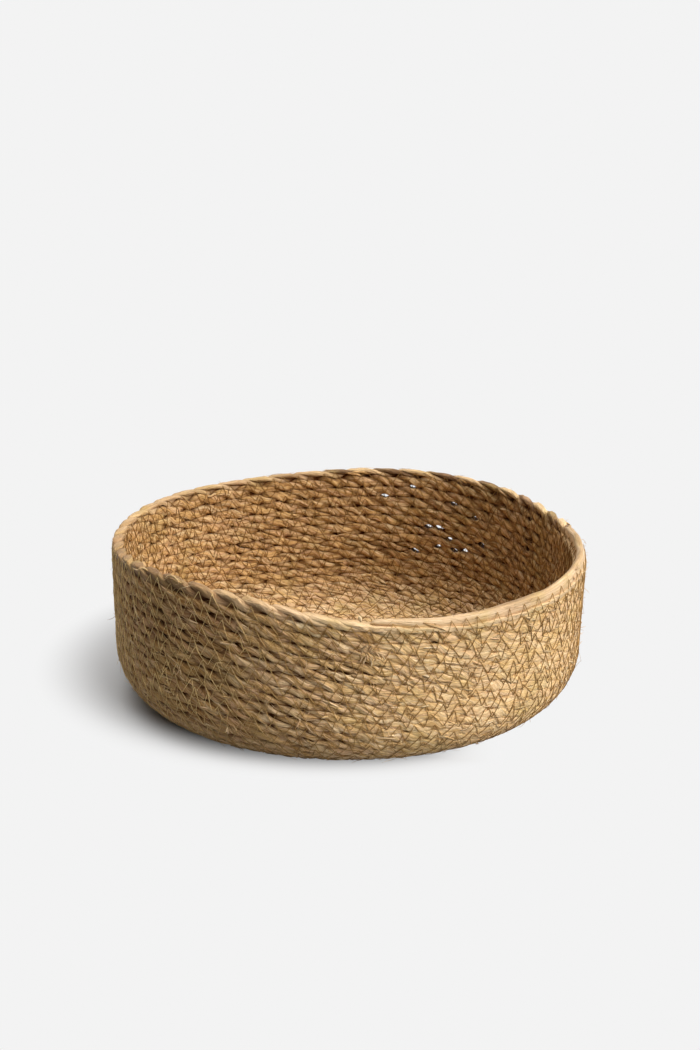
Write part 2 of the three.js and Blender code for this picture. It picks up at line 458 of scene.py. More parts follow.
class Rope:
    """The whole rope as rings of its two plies, from the floor's middle to the tip of its tail."""

    def __init__(self, shape, lay, sewing):
        self.spiral = Spiral(shape)
        self.shape = shape
        self.lay = lay
        self.wind()
        self.part_courses()
        self.pierce(sewing)
        self.twist()

    def wind(self):
        """Spaces rings evenly along the spiral."""
        start_back = self.spiral.start_back
        fine = np.linspace(start_back, 0, int(start_back * TRACK_STEPS))
        track = self.spiral.place(self.spiral.even_distance(fine), 0 * fine, fine)
        runs = np.concatenate(([0], np.cumsum(np.linalg.norm(np.diff(track, axis=0), axis=1))))
        self.run = np.linspace(0, runs[-1], int(runs[-1] / self.lay.ring_step))
        self.back = np.interp(self.run, runs, fine)
        self.turn = np.degrees(self.shape.tail_tip_at + self.back)
        # Each turn holds a whole number of lozenges, so the plies of all turns line up in long slants.
        marks = self.run_at(np.arange(0, start_back, FULL_TURN))[::-1]
        lozenges = np.round(np.diff(marks) / (self.lay.lay / 2))
        turned = math.pi * np.concatenate(([-2 * marks[0] / self.lay.lay, 0], np.cumsum(lozenges)))
        wander = sum(size * drift(self.run, noise) for size, noise in LAY_WANDERS)
        phase = np.interp(self.run, np.concatenate(([0], marks)), turned) + wander
        # A flattened rope turns slowly where both plies show and quickly where one hides the other.
        self.phase = phase + self.lay.flat_turn * np.sin(2 * phase)

    def run_at(self, back):
        return np.interp(-back, -self.back, self.run)

    def waver(self, back):
        """How far a seam wavers at random."""
        run = self.run_at(back)
        return self.lay.seam_wander * sum(size * drift(run, noise) for size, noise in SEAM_WAVERS)

    def seam_stray(self, back):
        """How far the seam under the rope strays from its even place."""
        drawn_up = np.exp(-np.maximum(back - FULL_TURN / 2, 0) / LIFT_FADES)
        drawn_up = drawn_up * comes(back, LIFT_COMES)
        front_left = bell(back, FRONT_LEFT_AT, FRONT_LEFT_SPREAD)
        lift = self.lay.rim_lift * drawn_up * (1 - FRONT_LEFT_HELD * front_left)
        return self.waver(back) + lift - self.tail_dropped(back)

    def tail_dropped(self, back):
        """How far the tail pushes the seam under it down."""
        return self.lay.tail_drop * (comes(back, DROP_COMES) - comes(back, DROP_GOES))

    def tail_full(self, back):
        return np.clip(back / self.shape.tail_turn, 0, 1)

    def tail_tall(self, back):
        """How tall the thinning strand at the rope's end stands over the seam under it."""
        tip, rim = self.shape.tail_tip_tall, self.shape.rim_tall
        thinned = tip + (rim - tip) * self.tail_full(back) ** TAIL_TALL_POWER
        return thinned + self.tail_dropped(back)

    def tail_deep(self, back):
        """How deep that strand is through the wall."""
        tip, full_depth = self.shape.tail_tip_depth, TAIL_DEEP_SHARE * self.shape.rope_depth
        return tip + (full_depth - tip) * self.tail_full(back) ** TAIL_DEEP_POWER

    def nestle(self, back):
        """How far the plies of the turns below and above push the seam between them up or down."""
        below = np.interp(self.run_at(back + FULL_TURN), self.run, self.phase)
        above = np.interp(self.run_at(back), self.run, self.phase)
        return self.lay.nestling * (np.cos(2 * above) - np.cos(2 * below)) / 2

    def part_courses(self):
        """Finds the seams under and over each ring. Neighbouring turns share one."""
        shape = self.shape
        pitch = shape.course_pitch
        even = self.spiral.even_distance(self.back)
        self.sewn_line = even - pitch / 2 + self.seam_stray(self.back)
        self.low = self.sewn_line + self.nestle(self.back)
        next_back = np.maximum(self.back - FULL_TURN, 0)
        covered = even + pitch / 2 + self.seam_stray(next_back) + self.nestle(next_back)
        free = even - pitch / 2 + shape.rim_tall + shape.seam_gap
        free = free + self.waver(self.back) * FREE_WAVER
        uncovered = (FULL_TURN - self.back) / shape.rim_swell
        self.free_top = smooth_step(uncovered)
        self.open_top = smooth_step(uncovered + 1)
        self.high = covered + (free - covered) * self.free_top
        # Where the tail pushes its seam down, hardly any height is left to the turn under it.
        self.half = np.maximum((self.high - self.low) / 2, LEAST_HALF)
        self.middle = (self.high + self.low) / 2
        self.seams = self.spiral.place(self.low, 0 * self.low, self.back)
        aside = np.cos(shape.tail_tip_at + self.back - self.lay.tight_at)
        # Painted shade: the outside turned away from the key light is darkened as if in shadow
        self.away_shade = smooth_step((AWAY_SHADE_FROM - aside) / AWAY_SHADE_OVER)
        tight_side = (aside - TIGHT_FROM) / TIGHT_OVER + TIGHT_WAVER * drift(self.run, "tightness")
        tight_rim = self.free_top * bell(self.turn, TIGHT_RIM_AT, TIGHT_RIM_SPREAD)
        tight_back = bell(degrees_from(self.turn, TIGHT_BACK_AT), 0, TIGHT_BACK_SPREAD)
        self.tight = np.maximum.reduce(
            (
                smooth_step(tight_side),
                TIGHT_RIM * tight_rim,
                TIGHT_BACK * tight_back,
                TIGHT_FLOOR * (1 - self.spiral.risen(even)),
            )
        )

    def ring_near(self, azimuth, height):
        """The ring whose lower seam passes closest to a place of the wall."""
        x, y, z = self.seams.T
        around = np.arctan2(y - self.shape.middle_y, x - self.shape.middle_x)
        aside = (around - math.radians(azimuth) + math.pi) % FULL_TURN - math.pi
        return np.hypot(aside * self.shape.rim_diameter / 2, z - height * MM).argmin()

    def parted(self, run):
        """How far the turns stand apart at the seam under some places of the rope."""
        apart = 0 * run
        for azimuth, height, size in PARTED:
            at = self.run[self.ring_near(azimuth, height)]
            open_here = np.exp(-(((run - at) / PARTED_LONG) ** PARTED_POWER))
            apart = apart + PARTED_WIDER * size * MM * open_here
        return apart

    def rim_tone(self, ply, tone):
        """Tones that follow the rim's own along the top turn, partly its own tones and partly painted shade
        on its left side and on one ply at the back.
        """
        angles, *tones = zip(*RIM_TONES)
        own = np.interp(self.turn, angles, tones[ply])[:, None]
        taken = RIM_TONE_SHARE * (self.back <= self.shape.tail_turn + FULL_TURN)[:, None]
        return tone * (1 - taken) + own * taken

    def pierce(self, sewing):
        """Places the needle's holes, on one side of each seam and the other by turns."""
        spacing = sewing.stitch / 2
        first = self.run_at(self.spiral.start_back - FULL_TURN)
        even = np.arange(first, self.run[-1] - HOLES_END, spacing)
        loose = np.random.RandomState(HOLE_SEED).uniform(-1, 1, (2, len(even)))
        crowded = HOLE_DRIFT * spacing * drift(even, "stitches")
        self.hole_run = even + crowded + HOLE_JITTER * spacing * loose[0]
        self.hole_back = np.interp(self.hole_run, self.run, self.back)
        hand = np.where(np.arange(len(even)) % 2 == 0, 0.5, -0.5)
        on_tail = self.hole_back < self.shape.tail_turn
        width = sewing.width * (1 + WIDTH_JITTER * loose[1]) + TAIL_STITCH_WIDER * on_tail
        low = np.interp(self.hole_run, self.run, self.sewn_line)
        tail_top = low + self.tail_tall(self.hole_back) - TAIL_HOLE_BELOW
        rope_top = np.interp(self.hole_run, self.run, self.high) - HOLE_BELOW
        self.hole_distance = np.minimum(low + hand * width, np.where(on_tail, tail_top, rope_top))

    def stitch_gaps(self, side):
        """How far each point lies from the stitches of the seam below it and of the seam above it."""
        gaps = []
        for turns in (0, 1):
            above = self.run_at(self.back - turns * FULL_TURN)
            last = np.clip(np.searchsorted(self.hole_run, above) - 1, 0, len(self.hole_run) - 2)
            length_of = self.hole_run[last + 1] - self.hole_run[last]
            rise = (self.hole_distance[last + 1] - self.hole_distance[last]) / length_of
            stitch_at = self.hole_distance[last] + rise * (above - self.hole_run[last])
            gap = (self.middle + side.T - stitch_at) / np.hypot(1, rise)
            unsewn = (above < self.hole_run[0]) | (self.back < turns * FULL_TURN)
            gaps.append(np.where(unsewn, UNSEWN_GAP, gap).T)
        return gaps

    def dents(self, side, gaps):
        """How deep the thread presses and pulls the leaves in, at some points of each ring."""
        nearest_gap = np.minimum(np.abs(gaps[0]), np.abs(gaps[1]))
        dent = self.lay.furrow * bell(nearest_gap, 0, FURROW_WIDE)
        for turns in (0, 1):
            above = self.run_at(np.maximum(self.back - turns * FULL_TURN, 0))
            # A turn holds the upper holes of the seam under it and the lower holes of the one over it.
            runs, distances = self.hole_run[turns::2], self.hole_distance[turns::2]
            after = np.clip(np.searchsorted(runs, above), 1, len(runs) - 1)
            nearest = np.where(above - runs[after - 1] < runs[after] - above, after - 1, after)
            along = (above - runs[nearest])[:, None] / HOLE_LONG
            across = (self.middle - distances[nearest])[:, None] + side
            hole = np.exp(-(along**2) - (across / HOLE_WIDE) ** 2)
            dent = np.maximum(dent, self.lay.dent * hole)
        return dent

    def leaf_relief(self, own, seed):
        """Which leaf lies at each place round a ply, and how its edges and slope change the radius."""
        run, lay = self.run, self.lay
        numbers = range(LEAVES)
        edges = np.stack([n + EDGE_WANDER * drift(run, "leaf edges", seed + n) for n in numbers], axis=-1)
        tilts = np.stack([patches(run, "leaf tilts", seed + n, LEAF_BLEND) for n in numbers], axis=-1)
        past = (own[:, :, None] - (edges / LEAVES * FULL_TURN)[:, None, :]) % FULL_TURN
        leaf = past.argmin(axis=2)
        before = past.min(axis=2)
        after = FULL_TURN - past.max(axis=2)
        tilt = np.take_along_axis(TILT_RANGE * tilts + TILT_LEAST, leaf, axis=1)
        slope = tilt * (before / (before + after) - 0.5)
        valley = bell(np.minimum(before, after), 0, CREASE_WIDE)
        deep = CREASE_LEAST + CREASE_RANGE * patches(run, "creases", seed, LEAF_BLEND)
        deep = deep * (1 - CREASE_FLATTENED * np.maximum(self.tight, self.free_top))
        return leaf, lay.leaf_tilt * slope - lay.crease * deep[:, None] * valley

    def twist(self):
        """Lays the two plies round each other and presses them against the neighbouring turns."""
        plies = [self.lay_ply(number, self.phase + number * math.pi) for number in range(PLIES)]
        self.sections, self.leaves, self.strands, self.sewn, self.depths = (
            np.stack(parts, axis=1) for parts in zip(*plies)
        )
        self.measure_surface()

    def lay_ply(self, number, turned):
        """One ply's points in the rope's section, with what its material needs to know of each."""
        lay, run = self.lay, self.run
        seed = PLY_SEED * (number + 1)
        free_top, tight, half = self.free_top[:, None], self.tight[:, None], self.half[:, None]
        # The points crowd together on the side that faces out of the rope.
        round_ply = round_section(PLY_SIDES)
        round_ply = round_ply - PLY_CROWDING * np.sin(round_ply)
        own = round_ply[None, :] + (FULL_TURN * run / lay.leaf_twist)[:, None]
        own = own + TURNING_WANDER * drift(run, "leaves' turning", seed)[:, None]
        leaf, relief = self.leaf_relief(own, seed)
        thick = lay.ply_thick / 2 * (1 + lay.unevenness * drift(run, "thickness", seed))[:, None]
        wide = lay.ply_wide / 2 * (1 + lay.unevenness / 2 * drift(run, "width", seed))[:, None]
        wide = wide * (1 - TOP_NARROWER * free_top)
        # A higher fullness makes a section squarer, as the thread pulls the ply flat.
        fullness = lay.loose_fullness + (lay.tight_fullness - lay.loose_fullness) * tight
        cos_ply, sin_ply = squared_round(round_ply, 2 / fullness)
        # The hidden half of a ply is fuller, so that no light passes between the two.
        radial = thick * cos_ply * np.where(cos_ply < 0, HIDDEN_FULLER, 1) * (1 + relief)
        across = wide * sin_ply * (1 + relief)
        offset = (lay.ply_offset + radial) * (1 + TOP_FARTHER * free_top)
        cos, sin = np.cos(turned)[:, None], np.sin(turned)[:, None]
        room = 2 * half / self.shape.course_pitch
        outward = (offset * cos - across * sin) * room**ROOM_DEPTH_POWER * (1 + TIGHT_DEEPER * tight)
        outward = press(outward, lay.pressed_depth * (1 - TOP_SHALLOWER * free_top))
        side = (offset * sin + across * cos) * room ** (ROOM_SIDE_POWER + ROOM_TOP_POWER * free_top)
        side = side * (1 + TIGHT_WIDER * tight)
        above = self.run_at(np.maximum(self.back - FULL_TURN, 0))
        upper = half + lay.overlap - TOP_LOWER * free_top - self.parted(above)[:, None]
        lower = half + lay.overlap - self.parted(run)[:, None]
        side = press(side, np.where(side > 0, upper, lower))
        ending = smooth_step((self.back - self.shape.tail_turn) / ENDING_TURN)[:, None]
        side, outward = (part * (ENDING_LEFT + (1 - ENDING_LEFT) * ending) for part in (side, outward))
        gaps = self.stitch_gaps(side)
        outward = outward - self.dents(side, gaps) * np.clip(outward / lay.pressed_depth, -1, 1)
        radius = np.hypot(radial, across)
        strand = strand_place(run[:, None] + PLY_PATTERNS_APART * number, radius, own)
        tones = [
            patches(run + TONE_SHIFT * place, "leaf tones", seed + place, TONE_BLEND)
            for place in range(LEAVES)
        ]
        tone = self.rim_tone(number, np.take_along_axis(np.stack(tones, axis=-1), leaf, axis=1))
        # Painted shade darkens the inside of the wall and the outside turned away from the key light, but
        # not the floor, and the rim's top gets less of it.
        risen = self.spiral.risen(self.middle)
        inside = smooth_step(0.5 - outward / INSIDE_BLEND) * risen[:, None]
        away_shade = (self.away_shade * risen)[:, None]
        shaded = np.maximum(inside, away_shade) * (1 - TOP_SHADE_LESS * free_top)
        # Painted shade in the gaps between plies: the lower this depth, the darker the material makes a
        # point. It is raised where sewn tight, and lowered inside the wall and on the side away from the key
        # light.
        depth = np.abs(outward) / lay.pressed_depth + TIGHT_GAPS * tight - INSIDE_GAPS * inside
        depth = depth - AWAY_SHADE_GAPS * away_shade * (1 - inside)
        depth = np.maximum(depth, self.open_top[:, None] * side / half)
        return np.stack((side, outward), axis=-1), tone, strand, np.stack((*gaps, shaded), axis=-1), depth

    def measure_surface(self):
        """Tables how far the plies reach outwards and inwards across each ring."""
        start, end = (
            points.reshape(len(self.run), -1, 2)
            for points in (self.sections, np.roll(self.sections, -1, axis=2))
        )
        outer, inner = [], []
        for bin_at in np.linspace(-BIN_SPAN, BIN_SPAN, BINS):
            at = (bin_at * self.half)[:, None]
            rise = end[..., 0] - start[..., 0]
            step = (at - start[..., 0]) / np.where(np.abs(rise) < FLAT_RISE, FLAT_RISE, rise)
            crosses = (step >= 0) & (step <= 1)
            reach = start[..., 1] + step * (end[..., 1] - start[..., 1])
            outer.append(np.where(crosses, reach, -1).max(axis=1))
            inner.append(np.where(crosses, -reach, -1).max(axis=1))
        self.outer = np.maximum(np.stack(outer, axis=-1), 0)
        self.inner = np.maximum(np.stack(inner, axis=-1), 0)
        on_tail = self.back < self.shape.tail_turn
        tail = self.tail_deep(self.back[on_tail]) / 2 + TAIL_STANDS_OUT
        self.outer[on_tail] = np.maximum(self.outer[on_tail], tail[:, None])

    def surface(self, distance, back, inside):
        """How far out, or in, the rope's surface stands at a place of the wall."""
        table = self.inner if inside else self.outer
        run = self.run_at(np.minimum(back + FULL_TURN, self.spiral.start_back))
        for turns in (0, 1):
            higher = self.run_at(np.maximum(back - turns * FULL_TURN, 0))
            reached = (distance >= np.interp(higher, self.run, self.low)) & (back >= turns * FULL_TURN)
            run = np.where(reached, higher, run)
        half = np.interp(run, self.run, self.half)
        side = (distance - np.interp(run, self.run, self.middle)) / half
        rings = len(self.run)
        column = np.clip((side + BIN_SPAN) / (2 * BIN_SPAN) * (BINS - 1), 0, BINS - LAST_BIN)
        ring = np.clip(run / self.run[-1] * (rings - 1), 0, rings - LAST_BIN)
        i, j = ring.astype(int), column.astype(int)
        u, v = ring - i, column - j
        return (
            table[i, j] * (1 - u) * (1 - v)
            + table[i + 1, j] * u * (1 - v)
            + table[i, j + 1] * (1 - u) * v
            + table[i + 1, j + 1] * u * v
        )


@functools.cache
def laid_rope():
    settings = bpy.context.scene
    return Rope(settings.basket_shape, settings.basket_rope, settings.basket_sewing)


# Meshes


def tube_faces(rings, sides, first=0):
    """Quads of a tube of rings, wound to face outwards, and a face at each of its ends."""
    ring, side = np.meshgrid(np.arange(rings - 1), np.arange(sides), indexing="ij")
    near, far, beside = ring * sides, (ring + 1) * sides, (side + 1) % sides
    corners = np.stack((near + side, near + beside, far + beside, far + side), axis=-1)
    faces = (first + corners.reshape(-1, 4)).tolist()
    start = list(range(first, first + sides))
    end = list(range(first + (rings - 1) * sides, first + rings * sides))
    return [*faces, start[::-1], end]


def add_piece(name, points, faces, material, nodes=()):
    """Adds a finished piece of the basket, which rides on its body and may stand for CAD nodes."""
    mesh = bpy.data.meshes.new(name)
    mesh.from_pydata(points.reshape(-1, 3), [], faces)
    mesh.update()
    piece = bpy.data.objects.new(name, mesh)
    bpy.context.scene.collection.objects.link(piece)
    bpy.ops.object.select_all(action="DESELECT")
    piece.select_set(True)
    bpy.context.view_layer.objects.active = piece
    bpy.ops.object.mode_set(mode="EDIT")
    bpy.ops.mesh.select_all(action="SELECT")
    bpy.ops.mesh.normals_make_consistent(inside=False)
    bpy.ops.object.mode_set(mode="OBJECT")
    bpy.ops.object.shade_smooth()
    mesh.materials.append(material)
    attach(piece, BODY)
    if nodes:
        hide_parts(*nodes)
    return piece


def add_attributes(piece, **layers):
    """Stores numbers or vectors at each point of a piece, for its material."""
    for name, values in layers.items():
        values = np.asarray(values, dtype=np.float32).ravel()
        one_each = len(values) == len(piece.data.vertices)
        kind, field = ("FLOAT", "value") if one_each else ("FLOAT_VECTOR", "vector")
        layer = piece.data.attributes.new(name, kind, "POINT")
        layer.data.foreach_set(field, values)


def mark_unsewn(piece, tone, strand, inside):
    """Tells the material of a strand that no stitch crosses it, that it lies on top, clear of the painted
    shade in the gaps, and whether it takes the inside's painted shade.
    """
    count = len(piece.data.vertices)
    sewn = np.tile((UNSEWN_GAP, UNSEWN_GAP, inside), (count, 1))
    add_attributes(piece, leaf=tone, strand=strand, sewn=sewn, depth=np.ones(count))


# Materials


class Shader:
    """A small helper that adds and joins the nodes of one material, or of the world."""

    def __init__(self, owner):
        self.owner = owner
        owner.use_nodes = True
        self.tree = owner.node_tree
        self.tree.nodes.clear()

    def node(self, kind, inputs=None, **settings):
        node = self.tree.nodes.new(kind)
        for key, value in settings.items():
            setattr(node, key, value)
        for key, value in (inputs or {}).items():
            socket = node.inputs[key]
            if isinstance(value, bpy.types.NodeSocket):
                self.tree.links.new(value, socket)
            else:
                socket.default_value = (*value, 1) if socket.type == "RGBA" else value
        return node

    def attribute(self, name, output="Fac"):
        return self.node("ShaderNodeAttribute", attribute_name=name).outputs[output]

    def place(self):
        return self.node("ShaderNodeTexCoord").outputs["Object"]

    def ramp(self, factor, stops):
        node = self.node("ShaderNodeValToRGB", {"Fac": factor})
        elements = node.color_ramp.elements
        for position, rgb in stops[1:-1]:
            elements.new(position).color = (*rgb, 1)
        for element, (position, rgb) in ((elements[0], stops[0]), (elements[-1], stops[-1])):
            element.position, element.color = position, (*rgb, 1)
        return node.outputs["Color"]

    def level(self, value, low, high, out_high=1.0, out_low=0.0, smooth=False):
        """Carries a value from one range over to another."""
        ends = {"Value": value, "From Min": low, "From Max": high, "To Min": out_low, "To Max": out_high}
        kind = "SMOOTHSTEP" if smooth else "LINEAR"
        return self.node("ShaderNodeMapRange", ends, interpolation_type=kind).outputs["Result"]

    def maths(self, operation, *values):
        return self.node("ShaderNodeMath", dict(enumerate(values)), operation=operation).outputs[0]

    def tint(self, first, second, factor, blend="MIX"):
        inputs = {0: factor, 6: first, 7: second}
        return self.node("ShaderNodeMix", inputs, data_type="RGBA", blend_type=blend).outputs[2]

    def noise(self, vector, scale, detail, roughness=0.5):
        """Noise at one scale, or at three scales along a strand's own axes."""
        if isinstance(scale, tuple):
            vector, scale = self.stretched(vector, scale), 1.0
        inputs = {"Vector": vector, "Scale": scale, "Detail": detail, "Roughness": roughness}
        return self.node("ShaderNodeTexNoise", inputs).outputs["Fac"]

    def cells(self, vector, scale, output="Color", feature="F1"):
        inputs = {"Vector": vector, "Scale": scale}
        return self.node("ShaderNodeTexVoronoi", inputs, feature=feature).outputs[output]

    def stretched(self, vector, scale):
        return self.node("ShaderNodeMapping", {"Vector": vector, "Scale": scale}).outputs["Vector"]

    def parts(self, vector):
        return self.node("ShaderNodeSeparateXYZ", {"Vector": vector}).outputs

    def furrow(self, gap, wide):
        """The furrow under a stitch, from how far away it is."""
        return self.level(self.maths("ABSOLUTE", gap), 0.0, wide, 0.0, 1.0, smooth=True)

    def bump(self, height, deep, invert=False, **more):
        inputs = {"Height": height, "Distance": deep, **more}
        return self.node("ShaderNodeBump", inputs, invert=invert).outputs["Normal"]

    def mix(self, factor, first, second):
        inputs = {0: factor, 1: first.outputs[0], 2: second.outputs[0]}
        return self.node("ShaderNodeMixShader", inputs)

    def seen_rays(self):
        """1 for the rays by which the camera sees a surface: straight, in a mirror or through glass."""
        path = self.node("ShaderNodeLightPath").outputs
        seen = self.maths("ADD", path["Is Camera Ray"], path["Is Glossy Ray"])
        return self.maths("ADD", seen, path["Is Transmission Ray"])

    def dry_surface(self, tone, roughness, specular, normal):
        inputs = {"Base Color": tone, "Roughness": roughness, "Specular IOR Level": specular}
        return self.finish(self.node("ShaderNodeBsdfPrincipled", {**inputs, "Normal": normal}))

    def finish(self, surface, output="ShaderNodeOutputMaterial"):
        self.node(output, {"Surface": surface.outputs[0]})
        return self.owner


# Patterns of the leaves and the thread, by their scale for each metre, detail and roughness

LEAF_CELLS, FACETS = (19, 430, 430), 230.0
STREAK = ((60, 1100, 1100), 3.0, 0.65)
VEIN = ((170, 2300, 2300), 2.0, 0.65)
WRINKLE = ((420, 700, 700), 2.0, 0.6)
BLOTCH = (42.0, 3.0, 0.6)
SPECK = (420.0, 2.0, 0.7)
THREAD_PATCH = (120.0, 2.0)
THREAD_TWIST = (2600.0, 1.0)

# How those patterns show: where they come and go, how deep they stand, and how dull the leaf is

NOISE_LOW, NOISE_HIGH = 0.3, 0.7
PATCH_FROM, PATCH_TO = 0.35, 0.65
FOLD_WIDE, WRINKLE_FOLDS = 0.09, 0.8
GAP_FROM, GAP_TO = 0.44, 0.86
TIGHT_WORN = 0.45
FURROW_SEEN = 0.7 * MM
FURROW_DEEP, FOLD_DEEP, STREAK_DEEP, TWIST_DEEP = 0.12 * MM, 0.17 * MM, 0.17 * MM, 0.2 * MM
TWIST_STRENGTH = 0.5
VEIN_ROUGHNESS, THREAD_ROUGHNESS = 0.12, 0.5
LEAF_SPECULAR, THREAD_SPECULAR = 0.1, 0.15


def leaf_material(name, palette, roughness, worn, own_share):
    """Dry seagrass leaf: a tone for each leaf, streaks along it, folds, and furrows under the thread, with
    painted shade inside the wall, on the side away from the key light, in the gaps between plies, in the
    folds and in the furrows.
    """
    c = bpy.context.scene.basket_finish
    shader = Shader(bpy.data.materials.new(name))
    level, noise, tint = shader.level, shader.noise, shader.tint
    strand = shader.attribute("strand", "Vector")
    where = shader.place()
    # The sewn attribute's third part is the share of painted shade, inside the wall and on the outside
    # turned away from the key light
    below, above, inside = shader.parts(shader.attribute("sewn", "Vector"))
    leaf_at = shader.stretched(strand, LEAF_CELLS)
    own_tone = shader.parts(shader.cells(leaf_at, 1.0))[0]
    edge = shader.cells(leaf_at, 1.0, "Distance", "DISTANCE_TO_EDGE")
    fold = level(edge, 0.0, FOLD_WIDE, 0.0, 1.0)
    streak, vein, wrinkle = (noise(strand, *pattern) for pattern in (STREAK, VEIN, WRINKLE))
    blotch, speck = (noise(where, *pattern) for pattern in (BLOTCH, SPECK))
    leaf_tone = level(shader.attribute("leaf"), 0.0, 1.0, own_share)
    tone = shader.ramp(shader.maths("ADD", leaf_tone, level(own_tone, 0.0, 1.0, 1.0 - own_share)), palette)
    tight = shader.attribute("tight")
    loose = level(tight, 0.0, 1.0, TIGHT_WORN * worn, worn)
    # Each tint's colour and pattern, the pattern's values between which it comes, how strong it gets,
    # and whether it fades where the rope is sewn tight
    tints = (
        (c.straw, tight, 0.0, 1.0, 0.4 * worn, False),
        (c.olive, blotch, 0.52, 0.68, 0.5, False),
        (c.pink, blotch, 0.46, 0.32, 0.35, False),
        (c.dark_streak, streak, 0.51, 0.66, 0.85, True),
        (c.bleached, streak, 0.46, 0.3, 0.65 * worn, False),
        (c.pale_vein, vein, 0.58, 0.78, 0.3 * worn, False),
        (c.dark_vein, vein, 0.46, 0.3, 0.6, True),
        (c.speck, speck, 0.66, 0.76, 0.6 * worn, False),
        # The fold tint darkens the creases at the leaves' edges: painted shade
        (c.fold, fold, 0.2, 1.0, 0.4 * worn, False),
    )
    for rgb, pattern, low, high, most, fades in tints:
        factor = level(pattern, low, high, most)
        tone = tint(tone, rgb, shader.maths("MULTIPLY", loose, factor) if fades else factor)
    furrow = shader.maths("MAXIMUM", *(shader.furrow(gap, FURROW_SEEN) for gap in (below, above)))
    facet = shader.maths("MULTIPLY", loose, shader.parts(shader.cells(where, FACETS))[0])
    gap = level(shader.attribute("depth"), GAP_FROM, GAP_TO, 0.0, 1.0)
    # Multiplied tints: painted shade inside and away from the key light, painted shadow in the furrows under
    # the thread, random darker facets, and painted shade in the gaps between plies
    shades = (
        (c.inner_shade, inside),
        (c.furrow_shade, furrow),
        (c.facet_shade, facet),
        (c.gap_shade, gap),
    )
    for rgb, factor in shades:
        tone = tint(tone, rgb, factor, "MULTIPLY")
    pressed = shader.bump(furrow, FURROW_DEEP, invert=True)
    folds = shader.maths("ADD", fold, level(wrinkle, NOISE_LOW, NOISE_HIGH, 0.0, WRINKLE_FOLDS))
    creased = shader.bump(folds, FOLD_DEEP, invert=True, Normal=pressed)
    ridged = shader.bump(shader.maths("ADD", streak, vein), STREAK_DEEP, Normal=creased)
    rough, smooth = roughness + VEIN_ROUGHNESS, roughness - VEIN_ROUGHNESS
    dull = level(vein, NOISE_LOW, NOISE_HIGH, rough, smooth)
    return shader.dry_surface(tone, dull, LEAF_SPECULAR, ridged)


@functools.cache
def seagrass():
    c = bpy.context.scene.basket_finish
    palette = (
        (0.0, c.brown),
        (0.12, c.tan),
        (0.28, c.straw),
        (0.46, c.straw),
        (0.54, c.pink),
        (0.72, c.pale),
        (1.0, c.bleached),
    )
    return leaf_material("seagrass", palette, roughness=0.6, worn=1.0, own_share=0.45)


@functools.cache
def rim_seagrass():
    c = bpy.context.scene.basket_finish
    palette = (
        (0.15, c.rim_brown),
        (0.38, c.rim_tan),
        (0.52, c.rim_pink),
        (0.8, c.rim_pale),
        (1.0, c.bleached),
    )
    return leaf_material("rim_seagrass", palette, roughness=0.52, worn=0.4, own_share=0.85)


@functools.cache
def sewing_thread():
    shader = Shader(bpy.data.materials.new("sewing_thread"))
    c = bpy.context.scene.basket_finish
    where = shader.place()
    patch = shader.level(shader.noise(where, *THREAD_PATCH), PATCH_FROM, PATCH_TO)
    # Painted sheen: on the outside turned away from the key light the thread is lightened
    tone = shader.tint(c.thread, c.faded_thread, shader.attribute("faded"))
    # Painted shade: the thread inside the wall is darkened, as the leaves there are
    tone = shader.tint(tone, c.inner_thread, shader.attribute("inside"), "MULTIPLY")
    tone = shader.tint(tone, c.thread_patch, patch, "MULTIPLY")
    twist = shader.bump(shader.noise(where, *THREAD_TWIST), TWIST_DEEP, Strength=TWIST_STRENGTH)
    return shader.dry_surface(tone, THREAD_ROUGHNESS, THREAD_SPECULAR, twist)


# Stretches of the rope

STRETCHES = ("base_coil", "heel_coil", "wall_coil", "rim_course", "rim_tail")


def stretch_bounds(rope):
    """The angles turned back at which the rope's job changes, as in the frame."""
    spiral, tail_turn = rope.spiral, rope.shape.tail_turn
    ends = (
        spiral.start_back,
        spiral.back_to(spiral.floor_radius),
        spiral.back_to(spiral.floor_radius + spiral.heel_length),
        tail_turn + FULL_TURN,
        tail_turn,
        0,
    )
    return dict(zip(STRETCHES, zip(ends, ends[1:])))


def wind_stretch(node, material):
    """Adds the two plies of one stretch of the rope, which stand for its CAD node."""
    rope = laid_rope()
    rings = stretch_of(rope.back, *stretch_bounds(rope)[node])
    if len(rings) < 2:
        raise RuntimeError(f"{node} has no length")
    faces = tube_faces(len(rings), PLY_SIDES)
    for ply, letter in enumerate("ab"):
        side, outward = np.moveaxis(rope.sections[rings, ply], -1, 0)
        points = rope.spiral.place(rope.middle[rings, None] + side, outward, rope.back[rings, None])
        piece = add_piece(f"{node}_ply_{letter}", points, faces, material, (node,))
        add_attributes(
            piece,
            leaf=rope.leaves[rings, ply],
            strand=rope.strands[rings, ply],
            sewn=rope.sewn[rings, ply],
            depth=rope.depths[rings, ply],
            tight=np.repeat(rope.tight[rings], PLY_SIDES),
        )


class BASKET_OT_floor(bpy.types.Operator):
    """Winds the flat spiral of the floor"""

    bl_idname = "basket.floor"
    bl_label = "Floor coil"

    def execute(self, context):
        wind_stretch("base_coil", seagrass())
        return {"FINISHED"}


class BASKET_OT_heel(bpy.types.Operator):
    """Winds the turns round the heel"""

    bl_idname = "basket.heel"
    bl_label = "Heel coil"

    def execute(self, context):
        wind_stretch("heel_coil", seagrass())
        return {"FINISHED"}


class BASKET_OT_wall(bpy.types.Operator):
    """Winds the upright turns"""

    bl_idname = "basket.wall"
    bl_label = "Wall coil"

    def execute(self, context):
        wind_stretch("wall_coil", seagrass())
        return {"FINISHED"}


class BASKET_OT_rim(bpy.types.Operator):
    """Winds the top turn"""

    bl_idname = "basket.rim"
    bl_label = "Rim course"

    def execute(self, context):
        wind_stretch("rim_course", rim_seagrass())
        return {"FINISHED"}


